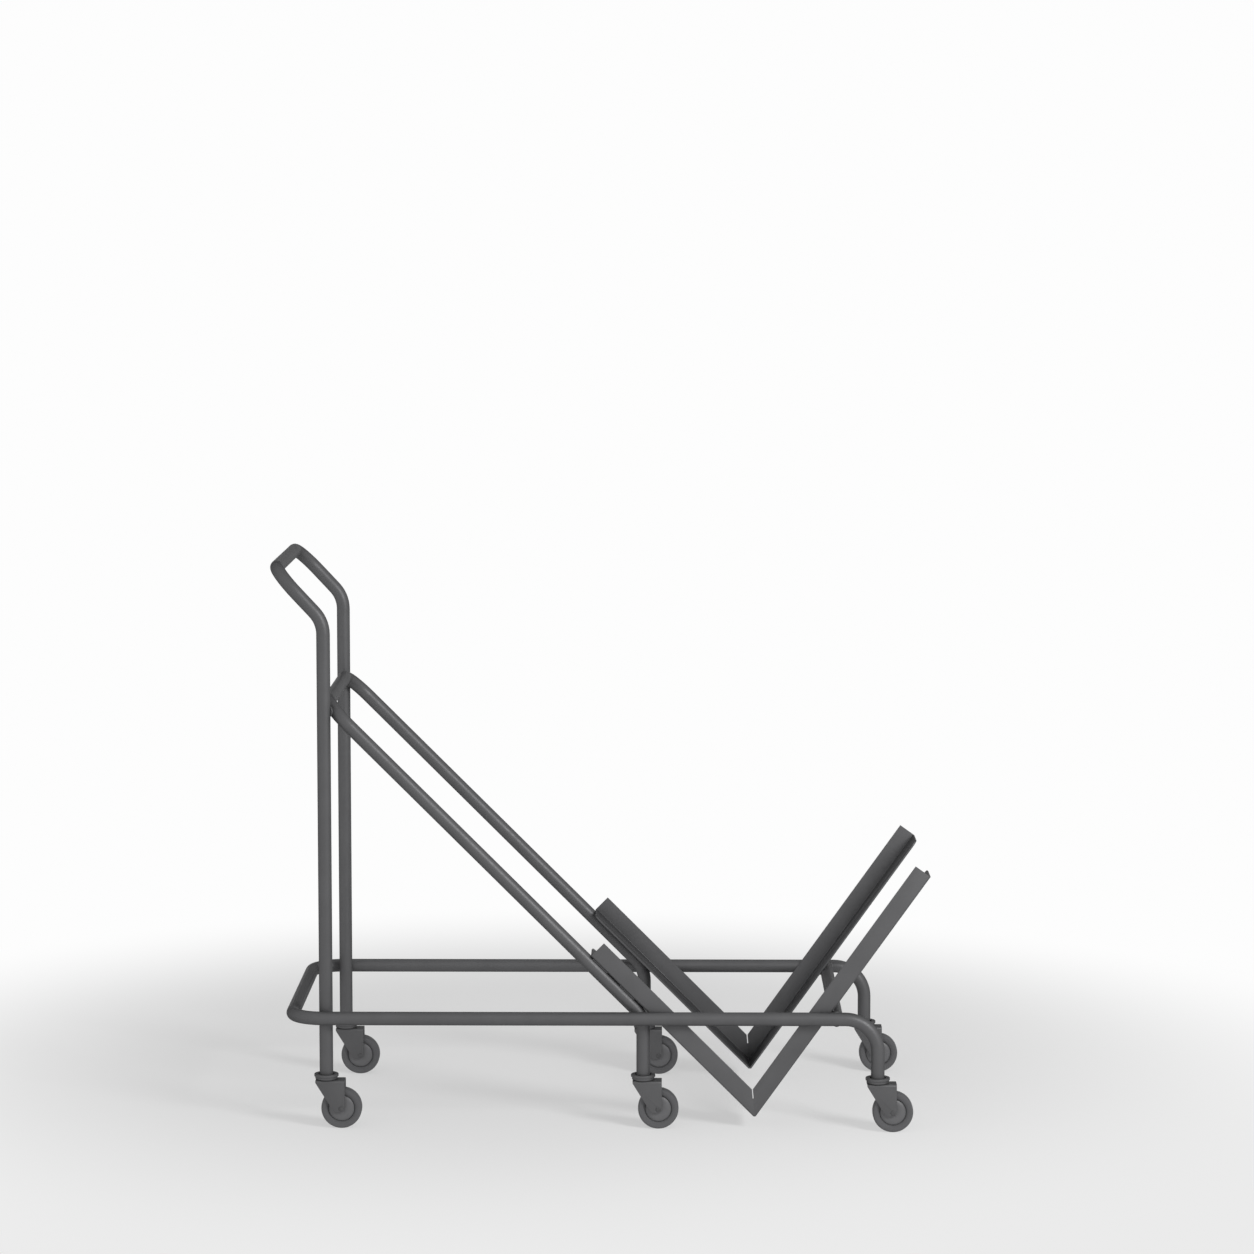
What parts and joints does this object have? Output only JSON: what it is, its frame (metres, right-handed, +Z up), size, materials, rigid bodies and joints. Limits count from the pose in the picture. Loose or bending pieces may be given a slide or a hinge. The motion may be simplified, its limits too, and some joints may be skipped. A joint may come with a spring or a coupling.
{
  "type": "chair trolley",
  "caption": "Stacking chair trolley of welded round tube, with a leaned-back push handle and V-shaped cradles of folded sheet, rolling on swivel casters.",
  "frame": {"origin": "on the floor, under the middle of the bounding box", "axes": "+X to the front, where the cradles are, +Y to the left side, +Z up"},
  "size_m": [1.213, 0.5648, 1.0475],
  "materials": {
    "frame_coat": "dark grey powder coat, satin",
    "sleeve_plastic": "moulded, matt",
    "bright_steel": "zinc plated",
    "wheel_plastic": "moulded, satin",
    "tyre_rubber": "smooth, satin"
  },
  "bodies": {
    "frame": {"base_rail": "frame_coat", "handle_tube": "frame_coat", "slope_tube": "frame_coat", "cradle_cross_tube": "frame_coat", "right_cradle_rear_arm": "frame_coat", "right_cradle_front_arm": "frame_coat", "left_cradle_rear_arm": "frame_coat", "left_cradle_front_arm": "frame_coat", "stem_sleeves": "sleeve_plastic", "caster_stems": "bright_steel", "upper_races": "frame_coat"},
    "rear_right_caster": {"rear_right_fork": "frame_coat", "rear_right_swivel_balls": "bright_steel", "rear_right_axle": "bright_steel"},
    "rear_right_wheel": {"rear_right_wheel_bush": "bright_steel", "rear_right_wheel_core": "wheel_plastic", "rear_right_tyre": "tyre_rubber"},
    "rear_left_caster": {"rear_left_fork": "frame_coat", "rear_left_swivel_balls": "bright_steel", "rear_left_axle": "bright_steel"},
    "rear_left_wheel": {"rear_left_wheel_bush": "bright_steel", "rear_left_wheel_core": "wheel_plastic", "rear_left_tyre": "tyre_rubber"},
    "middle_right_caster": {"middle_right_fork": "frame_coat", "middle_right_swivel_balls": "bright_steel", "middle_right_axle": "bright_steel"},
    "middle_right_wheel": {"middle_right_wheel_bush": "bright_steel", "middle_right_wheel_core": "wheel_plastic", "middle_right_tyre": "tyre_rubber"},
    "middle_left_caster": {"middle_left_fork": "frame_coat", "middle_left_swivel_balls": "bright_steel", "middle_left_axle": "bright_steel"},
    "middle_left_wheel": {"middle_left_wheel_bush": "bright_steel", "middle_left_wheel_core": "wheel_plastic", "middle_left_tyre": "tyre_rubber"},
    "front_right_caster": {"front_right_fork": "frame_coat", "front_right_swivel_balls": "bright_steel", "front_right_axle": "bright_steel"},
    "front_right_wheel": {"front_right_wheel_bush": "bright_steel", "front_right_wheel_core": "wheel_plastic", "front_right_tyre": "tyre_rubber"},
    "front_left_caster": {"front_left_fork": "frame_coat", "front_left_swivel_balls": "bright_steel", "front_left_axle": "bright_steel"},
    "front_left_wheel": {"front_left_wheel_bush": "bright_steel", "front_left_wheel_core": "wheel_plastic", "front_left_tyre": "tyre_rubber"}
  },
  "joints": [
    {"name": "rear_right_swivel", "type": "hinge", "parent": "frame", "child": "rear_right_caster", "pos_m": [-0.50555, -0.2348, 0.0925], "axis": [0, 0, 1], "continuous": true},
    {"name": "rear_right_roll", "type": "hinge", "parent": "rear_right_caster", "child": "rear_right_wheel", "pos_m": [-0.47754, -0.2348, 0.0375], "axis": [0, 1, 0], "continuous": true},
    {"name": "rear_left_swivel", "type": "hinge", "parent": "frame", "child": "rear_left_caster", "pos_m": [-0.50555, 0.2348, 0.0925], "axis": [0, 0, 1], "continuous": true},
    {"name": "rear_left_roll", "type": "hinge", "parent": "rear_left_caster", "child": "rear_left_wheel", "pos_m": [-0.47754, 0.2348, 0.0375], "axis": [0, 1, 0], "continuous": true},
    {"name": "middle_right_swivel", "type": "hinge", "parent": "frame", "child": "middle_right_caster", "pos_m": [0.07945, -0.2348, 0.0925], "axis": [0, 0, 1], "continuous": true},
    {"name": "middle_right_roll", "type": "hinge", "parent": "middle_right_caster", "child": "middle_right_wheel", "pos_m": [0.10745, -0.2348, 0.0375], "axis": [0, 1, 0], "continuous": true},
    {"name": "middle_left_swivel", "type": "hinge", "parent": "frame", "child": "middle_left_caster", "pos_m": [0.07945, 0.2348, 0.0925], "axis": [0, 0, 1], "continuous": true},
    {"name": "middle_left_roll", "type": "hinge", "parent": "middle_left_caster", "child": "middle_left_wheel", "pos_m": [0.10745, 0.2348, 0.0375], "axis": [0, 1, 0], "continuous": true},
    {"name": "front_right_swivel", "type": "hinge", "parent": "frame", "child": "front_right_caster", "pos_m": [0.51096, -0.26, 0.0925], "axis": [0, 0, 1], "continuous": true},
    {"name": "front_right_roll", "type": "hinge", "parent": "front_right_caster", "child": "front_right_wheel", "pos_m": [0.53895, -0.26, 0.0375], "axis": [0, 1, 0], "continuous": true},
    {"name": "front_left_swivel", "type": "hinge", "parent": "frame", "child": "front_left_caster", "pos_m": [0.51096, 0.26, 0.0925], "axis": [0, 0, 1], "continuous": true},
    {"name": "front_left_roll", "type": "hinge", "parent": "front_left_caster", "child": "front_left_wheel", "pos_m": [0.53895, 0.26, 0.0375], "axis": [0, 1, 0], "continuous": true}
  ]
}
